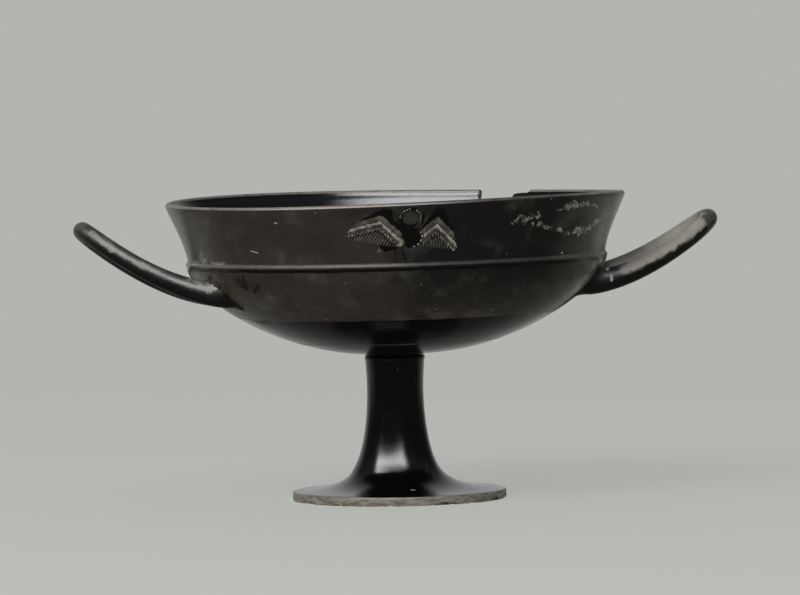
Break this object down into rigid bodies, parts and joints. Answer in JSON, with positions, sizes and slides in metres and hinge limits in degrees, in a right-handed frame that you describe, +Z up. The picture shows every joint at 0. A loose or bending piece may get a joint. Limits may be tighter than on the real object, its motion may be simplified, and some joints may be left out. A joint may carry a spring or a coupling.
{
  "type": "greek kylix cup",
  "caption": "Wide shallow drinking cup on a tall stem and flat foot, with an offset lip and upswept loop handles; black-gloss ceramic with a painted bird.",
  "frame": {"origin": "on the table, under the middle of the bowl and of the span over the handles; the stem stands 2.3 mm to the left of it", "axes": "+X runs through the two handles to the right-hand one, -Y faces the viewer's side with the painted bird, +Z is up"},
  "size_m": [0.312, 0.221, 0.1475],
  "materials": {
    "black_gloss_clay": "fired clay under a near-black gloss, with bare dark reddish-brown clay on the lip and the handle zone, worn and scratched"
  },
  "bodies": {
    "root": {"kylix": "black_gloss_clay"}
  },
  "joints": []
}
